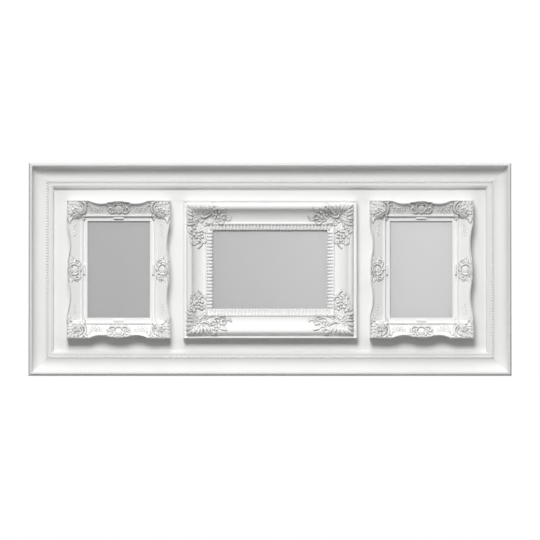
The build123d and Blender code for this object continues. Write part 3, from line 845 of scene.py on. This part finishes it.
# %% Rows of teeth
TOOTH_PITCH, CORNER_RUN = 4.9, 14.0
sight_x, sight_z = (side / 2 - CENTRE_SIGHT for side in outlines["centre_frame"])
count_level = int((2 * sight_x + CORNER_RUN) / TOOTH_PITCH)
count_upright = int(2 * sight_z / TOOTH_PITCH)
rows = ((0, count_level, sight_z), (180, count_level, sight_z),
        (90, count_upright, sight_x), (270, count_upright, sight_x))
index = np.arange(tooth_across.size).reshape(tooth_across.shape)
corners = (index[:-1, :-1], index[:-1, 1:], index[1:, 1:], index[1:, :-1])
tooth_faces = np.stack(corners, axis=-1).reshape(-1, 4)
points, faces = [], []
for turn, count, reach in rows:
    for step in range(count):
        across = tooth_across + (step - (count - 1) / 2) * TOOTH_PITCH
        faces += (tooth_faces + len(points) * tooth_across.size).tolist()
        points.append(turned(across, -tooth_front, reach + tooth_length / 2 + tooth_up, turn).reshape(-1, 3))
teeth = bpy.data.meshes.new("centre_teeth")
teeth.from_pydata((np.vstack(points) * MM).tolist(), [], faces)
softened(teeth, crease=50)
placed("centre_teeth", teeth, cast_lacquer, "white_casting")
print("teeth", len(points))

# %% [markdown]
# A grey paper card lies in place of each photograph. It is matt, with a faint grain of its fibres that
# is drawn coarser than the real one, as that would not show. From left to right the cards look lighter
# by more than a lamp gives: a sheen of the glass that grows towards the right is painted into their
# grey, which goes slowly from a darker to a lighter one.

# %% Grey paper card with a painted sheen
# The two greys hold painted light: the glass's sheen, weak on the left and strong on the right.
CARD_LEFT_PAINTED_DIM, CARD_RIGHT_PAINTED_SHEEN, CARD_SHEEN_SPREAD_MM = "#C7C7C7", "#E6E6E6", 220
CARD_GRAIN_MM, CARD_GRAIN_HEIGHT_MM = 1.2, 0.01
card = new_material("grey paper card")
card_place = add(card, "ShaderNodeTexCoord").outputs["Object"]
card_across = add(card, "ShaderNodeSeparateXYZ", {"Vector": card_place})
painted_sheen_share = add(card, "ShaderNodeMapRange", {
    "Value": card_across.outputs["X"], "From Min": -CARD_SHEEN_SPREAD_MM * MM, "From Max": CARD_SHEEN_SPREAD_MM * MM})
# The card's grey is mixed from left to right, which paints the glass's sheen into it.
card_grey_and_painted_sheen = add(card, "ShaderNodeMix", {
    "Factor": painted_sheen_share.outputs["Result"], "A": linear(CARD_LEFT_PAINTED_DIM), "B": linear(CARD_RIGHT_PAINTED_SHEEN)},
    data_type="RGBA")
card_grain = add(card, "ShaderNodeTexNoise", {
    "Vector": card_place, "Scale": 1 / (CARD_GRAIN_MM * MM), "Detail": 2.0})
coat(card, card_grey_and_painted_sheen, card_grain, CARD_GRAIN_HEIGHT_MM, roughness=0.85)
print("card from", CARD_LEFT_PAINTED_DIM, "to", CARD_RIGHT_PAINTED_SHEEN)

# %% [markdown]
# Float glass is smooth and clear. Most light goes straight through, and a few percent is reflected,
# more towards grazing angles, so the eye sees only a faint sheen. A full glass shader would bend and
# scatter the light on the card for nothing, so a transparent and a glossy one are mixed by the angle.

# %% Clear float glass
glass = new_material("clear float glass")
glass_through = add(glass, "ShaderNodeBsdfTransparent", {"Color": linear("#FFFFFF")})
glass_sheen = add(glass, "ShaderNodeBsdfGlossy", {"Roughness": 0.05})
glass_share = add(glass, "ShaderNodeFresnel", {"IOR": 1.5})
glass_mix = add(glass, "ShaderNodeMixShader", {
    "Fac": glass_share.outputs["Fac"], 1: glass_through.outputs[0], 2: glass_sheen.outputs[0]})
add(glass, "ShaderNodeOutputMaterial", {"Surface": glass_mix.outputs[0]})
print("glass nodes", len(glass.node_tree.nodes))

# %% [markdown]
# The hardware at the back is bought in. Turn buttons, plates, screws and nails are pressed steel with a
# thin coat of zinc, whose crystals show as faint patches of rougher and smoother metal. Rings are bent
# from bright drawn wire, which the die leaves with fine lines along it. Both are one kind of metal:
# tint and roughness drift together over patches, and for the wire the patches are drawn out.

# %% Zinc plate and drawn wire
def bright_metal(name, light, deep, patch_mm, smooth, rough, stretch=(1, 1, 1)):
    """Plated or drawn metal, whose patches may be drawn out along an axis."""
    material = new_material(name)
    place = add(material, "ShaderNodeTexCoord").outputs["Object"]
    place = add(material, "ShaderNodeMapping", {"Vector": place, "Scale": stretch}).outputs["Vector"]
    patch = add(material, "ShaderNodeTexNoise", {
        "Vector": place, "Scale": 1 / (patch_mm * MM), "Detail": 3.0})
    tint = add(material, "ShaderNodeMix", {
        "Factor": patch.outputs["Fac"], "A": linear(deep), "B": linear(light)}, data_type="RGBA")
    grain = add(material, "ShaderNodeMapRange", {
        "Value": patch.outputs["Fac"], "From Min": 0.3, "From Max": 0.7, "To Min": smooth, "To Max": rough})
    shader = add(material, "ShaderNodeBsdfPrincipled", {
        "Base Color": tint.outputs["Result"], "Roughness": grain.outputs["Result"], "Metallic": 1.0})
    add(material, "ShaderNodeOutputMaterial", {"Surface": shader.outputs[0]})
    return material


zinc_plate = bright_metal("zinc plated pressed steel", "#D3D5D6", "#B9BDC0",
                          patch_mm=1.6, smooth=0.28, rough=0.46)
drawn_wire = bright_metal("bright drawn steel wire", "#D8D8D6", "#C2C2C0",
                          patch_mm=0.25, smooth=0.16, rough=0.3, stretch=(0.2, 1, 1))
print("metals", zinc_plate.name, "and", drawn_wire.name)

# %% [markdown]
# The boards are brown hardboard: wood fibre pressed hot into a thin sheet. It looks matt and speckled
# by its fibres, with slow darker clouds. A fine noise gives the fibres, drawn coarser than real so that
# they show, a broad one gives the clouds, and their product goes between two browns.

# %% Brown pressed hardboard
FIBRE_MM, CLOUD_MM, FIBRE_HEIGHT_MM = 0.9, 14, 0.03
hardboard = new_material("brown pressed hardboard")
board_place = add(hardboard, "ShaderNodeTexCoord").outputs["Object"]
fibre = add(hardboard, "ShaderNodeTexNoise", {
    "Vector": board_place, "Scale": 1 / (FIBRE_MM * MM), "Detail": 4.0})
cloud = add(hardboard, "ShaderNodeTexNoise", {
    "Vector": board_place, "Scale": 1 / (CLOUD_MM * MM), "Detail": 2.0})
speckle = add(hardboard, "ShaderNodeMath", {0: fibre.outputs["Fac"], 1: cloud.outputs["Fac"]},
              operation="MULTIPLY")
speckle = add(hardboard, "ShaderNodeMapRange", {
    "Value": speckle.outputs[0], "From Min": 0.12, "From Max": 0.4})
board_colour = add(hardboard, "ShaderNodeMix", {
    "Factor": speckle.outputs["Result"], "A": linear("#6A4B31"), "B": linear("#94714E")}, data_type="RGBA")
coat(hardboard, board_colour, fibre, FIBRE_HEIGHT_MM, roughness=0.82)
print("hardboard nodes", len(hardboard.node_tree.nodes))

# %% [markdown]
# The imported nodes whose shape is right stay, and only their finish is changed. Their names say what
# they are, so a word in the name chooses the finish.

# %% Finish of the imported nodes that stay
finish_of = {"mount_panel": panel_lacquer, "back_board": hardboard, "photo_card": card, "glass": glass,
             "hanger_ring": drawn_wire}
finish_of.update(dict.fromkeys(("button", "plate", "nails", "points", "brads", "screws"), zinc_plate))
for name, node in nodes.items():
    for word, finish in finish_of.items():
        if word in name:
            print(name, "in", finish.name)
            for slot in node.material_slots:
                slot.material = finish

# %% [markdown]
# The photograph is lit by one large soft lamp, high and a little to the left. Its apparent size sets
# how soft the shadows under the carved frames are. A weaker lamp overhead brightens what faces up, as
# a white ceiling does, and a third one behind the frame shows its back.

# %% Lamps
def soft_lamp(name, place, size, energy):
    """A round soft box aimed at the middle of the frame, which shows neither itself nor its reflection."""
    lamp_data = bpy.data.lights.new(name, "AREA")
    lamp_data.shape = "DISK"
    lamp_data.size = size
    lamp_data.energy = energy
    lamp = bpy.data.objects.new(name, lamp_data)
    lamp.location = place
    lamp.rotation_euler = (-lamp.location).to_track_quat("-Z", "Y").to_euler()
    lamp.visible_camera = False
    lamp.visible_glossy = False
    bpy.context.scene.collection.objects.link(lamp)
    print(name, "at", round(lamp.location.length, 2), "m")


soft_lamp("key", (-0.5, -3.5, 2.02), size=1.5, energy=125)
soft_lamp("overhead", (-0.2, -1.9, 3.7), size=2.2, energy=36)
soft_lamp("rear fill", (0.8, 3.2, 1.6), size=1.6, energy=70)

# %% [markdown]
# The room is white. What the camera, a reflection or a view through glass sees of it is full white, as
# the photograph's ground. As light it is faint, and brighter from above than from below, so that what
# faces down stays a soft grey.

# %% White room
ROOM_LIGHT, ROOM_FROM_ABOVE = 0.108, 0.8
world = bpy.data.worlds.new("white room")
bpy.context.scene.world = world
world.use_nodes = True
world.node_tree.nodes.clear()
rays = add(world, "ShaderNodeLightPath").outputs
seen = add(world, "ShaderNodeMath", {0: rays["Is Camera Ray"], 1: rays["Is Glossy Ray"]},
           operation="MAXIMUM")
seen = add(world, "ShaderNodeMath", {0: seen.outputs[0], 1: rays["Is Transmission Ray"]},
           operation="MAXIMUM")
sky = add(world, "ShaderNodeSeparateXYZ", {"Vector": add(world, "ShaderNodeTexCoord").outputs["Generated"]})
sky = add(world, "ShaderNodeMath", {0: sky.outputs["Z"], 1: ROOM_LIGHT * ROOM_FROM_ABOVE, 2: ROOM_LIGHT},
          operation="MULTIPLY_ADD")
room = add(world, "ShaderNodeBackground", {"Color": linear("#FFFFFF"), "Strength": sky.outputs[0]})
backdrop = add(world, "ShaderNodeBackground", {"Color": linear("#FFFFFF"), "Strength": 1.0})
room_mix = add(world, "ShaderNodeMixShader", {
    "Fac": seen.outputs[0], 1: room.outputs[0], 2: backdrop.outputs[0]})
add(world, "ShaderNodeOutputWorld", {"Surface": room_mix.outputs[0]})
print("room light from below and above", [round(ROOM_LIGHT * (1 + s * ROOM_FROM_ABOVE), 3) for s in (-1, 1)])

# %% [markdown]
# A round floor, rolled with matt white paint, lies far below the frame. It stays out of the front view
# and throws a little light up under the mouldings.

# %% Floor
FLOOR_RADIUS, FLOOR_BELOW, FLOOR_POINTS = 1.0, 1.9, 64
floor_angles = np.linspace(0, 2 * math.pi, FLOOR_POINTS, endpoint=False)
floor_ring = [(FLOOR_RADIUS * math.cos(t), FLOOR_RADIUS * math.sin(t), -FLOOR_BELOW) for t in floor_angles]
floor_mesh = bpy.data.meshes.new("floor")
floor_mesh.from_pydata(floor_ring, [], [list(range(FLOOR_POINTS))])
floor_paint = new_material("rolled matt white floor paint")
floor_shader = add(floor_paint, "ShaderNodeBsdfPrincipled", {
    "Base Color": linear("#F4F4F4"), "Roughness": 0.8})
add(floor_paint, "ShaderNodeOutputMaterial", {"Surface": floor_shader.outputs[0]})
floor_mesh.materials.append(floor_paint)
floor = bpy.data.objects.new("floor", floor_mesh)
bpy.context.scene.collection.objects.link(floor)
print("floor", FLOOR_BELOW, "m below the middle")

# %% [markdown]
# The photograph is taken from straight ahead and a little below the middle. The camera stands far off,
# so that the sides of the casts hardly show, and its lens is set so that the frame is as many pixels
# wide as in the photograph.

# %% Camera
CAMERA_DISTANCE, CAMERA_ELEVATION = 6.0, math.radians(-2.0)
FRAME_PIXELS, IMAGE_PIXELS, SENSOR_WIDTH = 483.5, 540, 36
picture_width = frame_width * MM * IMAGE_PIXELS / FRAME_PIXELS
camera_data = bpy.data.cameras.new("camera")
camera_data.sensor_width = SENSOR_WIDTH
camera_data.lens = SENSOR_WIDTH * (CAMERA_DISTANCE - rope_crest * MM) / picture_width
camera = bpy.data.objects.new("camera", camera_data)
camera.location = (0, -CAMERA_DISTANCE * math.cos(CAMERA_ELEVATION),
                   CAMERA_DISTANCE * math.sin(CAMERA_ELEVATION))
camera.rotation_euler = (-camera.location).to_track_quat("-Z", "Y").to_euler()
bpy.context.scene.collection.objects.link(camera)
bpy.context.scene.camera = camera
bpy.context.scene.view_settings.view_transform = "Standard"
print("lens", round(camera_data.lens, 1))
